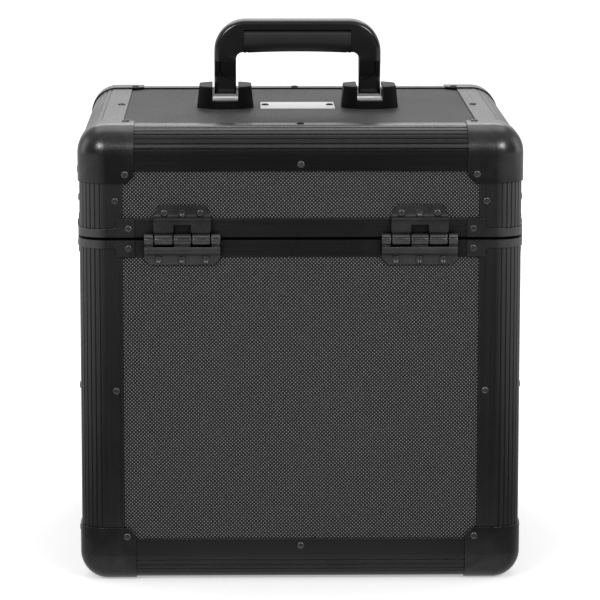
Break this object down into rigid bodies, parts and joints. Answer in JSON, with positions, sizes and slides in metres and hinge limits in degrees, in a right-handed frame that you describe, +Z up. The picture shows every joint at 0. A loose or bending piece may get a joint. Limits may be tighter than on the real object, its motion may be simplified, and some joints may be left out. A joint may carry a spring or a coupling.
{
  "type": "record carrying case",
  "caption": "Upright hard case for records: laminated boards in ribbed edge rails, ball corner caps, hinged lid, draw latches and a folding carrying handle.",
  "frame": {"origin": "middle of the case on the floor plane that its bottom corner caps stand on", "axes": "+X along the hinge line, -Y towards the latches, +Y towards the hinges, +Z up"},
  "size_m": [0.3648, 0.3686, 0.4489],
  "materials": {
    "dotted_laminate": "black laminate with a fine lattice of small grey dots, satin",
    "ribbed_rail": "dark anodised, fine lengthwise grooves, satin",
    "rim_rail": "dark anodised, satin",
    "corner_cap": "dark powder coat over pressed steel, semi-gloss",
    "rim_bracket": "dark powder coat, semi-gloss",
    "rivet": "dark, semi-gloss domes",
    "lining_foam": "black foam faced with short-pile fabric, matt",
    "blank_plate": "white, bare, satin",
    "handle_plastic": "black moulded plastic, fine texture, semi-matt",
    "grip_rubber": "soft black elastomer, matt",
    "bright_steel": "bright plated steel",
    "dark_hardware": "dark powder coat over sheet steel, semi-gloss"
  },
  "bodies": {
    "base": {"base_floor_board": "dotted_laminate", "base_back_board": "dotted_laminate", "base_front_board": "dotted_laminate", "base_left_board": "dotted_laminate", "base_right_board": "dotted_laminate", "base_corner_posts": "ribbed_rail", "base_bottom_rail_back": "ribbed_rail", "base_bottom_rail_front": "ribbed_rail", "base_bottom_rail_left": "ribbed_rail", "base_bottom_rail_right": "ribbed_rail", "base_rim_back": "rim_rail", "base_rim_front": "rim_rail", "base_rim_left": "rim_rail", "base_rim_right": "rim_rail", "base_corner_caps": "corner_cap", "base_rim_brackets": "rim_bracket", "base_rivets": "rivet", "base_floor_pad": "lining_foam", "base_wall_lining": "lining_foam", "hinge_base_leaf_left": "dark_hardware", "hinge_base_leaf_right": "dark_hardware", "hinge_and_lever_pins": "bright_steel", "latch_plate_left": "dark_hardware", "latch_plate_right": "dark_hardware"},
    "lid": {"lid_top_board": "dotted_laminate", "lid_back_board": "dotted_laminate", "lid_front_board": "dotted_laminate", "lid_left_board": "dotted_laminate", "lid_right_board": "dotted_laminate", "lid_corner_posts": "ribbed_rail", "lid_top_rail_back": "ribbed_rail", "lid_top_rail_front": "ribbed_rail", "lid_top_rail_left": "ribbed_rail", "lid_top_rail_right": "ribbed_rail", "lid_rim_back": "rim_rail", "lid_rim_front": "rim_rail", "lid_rim_left": "rim_rail", "lid_rim_right": "rim_rail", "lid_corner_caps": "corner_cap", "lid_rim_brackets": "rim_bracket", "lid_rivets": "rivet", "lid_top_pad": "lining_foam", "lid_wall_lining": "lining_foam", "name_plate": "blank_plate", "handle_bracket_left": "handle_plastic", "handle_bracket_right": "handle_plastic", "handle_saddles": "bright_steel", "handle_pins": "bright_steel", "hinge_lid_leaf_left": "dark_hardware", "hinge_lid_leaf_right": "dark_hardware", "latch_keeper_left": "dark_hardware", "latch_keeper_right": "dark_hardware"},
    "handle": {"handle_bail": "handle_plastic", "handle_grip": "grip_rubber"},
    "latch_lever_left": {"latch_lever_left": "dark_hardware", "latch_claw_pin_left": "bright_steel"},
    "latch_lever_right": {"latch_lever_right": "dark_hardware", "latch_claw_pin_right": "bright_steel"},
    "latch_claw_left": {"latch_claw_left": "bright_steel"},
    "latch_claw_right": {"latch_claw_right": "bright_steel"}
  },
  "joints": [
    {"name": "lid_hinge", "type": "hinge", "parent": "base", "child": "lid", "pos_m": [0, 0.1798, 0.28585], "axis": [-1, 0, 0], "range_deg": [0, 100]},
    {"name": "handle_fold", "type": "hinge", "parent": "lid", "child": "handle", "pos_m": [0, 0, 0.38985], "axis": [1, 0, 0], "range_deg": [-75, 90]},
    {"name": "latch_lever_left_swing", "type": "hinge", "parent": "base", "child": "latch_lever_left", "pos_m": [-0.096, -0.1786, 0.26585], "axis": [-1, 0, 0], "range_deg": [0, 80]},
    {"name": "latch_claw_left_swing", "type": "hinge", "parent": "latch_lever_left", "child": "latch_claw_left", "pos_m": [-0.096, -0.1802, 0.25935], "axis": [-1, 0, 0], "range_deg": [-84, 0]},
    {"name": "latch_lever_right_swing", "type": "hinge", "parent": "base", "child": "latch_lever_right", "pos_m": [0.096, -0.1786, 0.26585], "axis": [-1, 0, 0], "range_deg": [0, 80]},
    {"name": "latch_claw_right_swing", "type": "hinge", "parent": "latch_lever_right", "child": "latch_claw_right", "pos_m": [0.096, -0.1802, 0.25935], "axis": [-1, 0, 0], "range_deg": [-84, 0]}
  ],
  "couplings": [
    {"joint": "latch_claw_left_swing", "follows": "latch_lever_left_swing", "ratio": -1.05},
    {"joint": "latch_claw_right_swing", "follows": "latch_lever_right_swing", "ratio": -1.05}
  ]
}
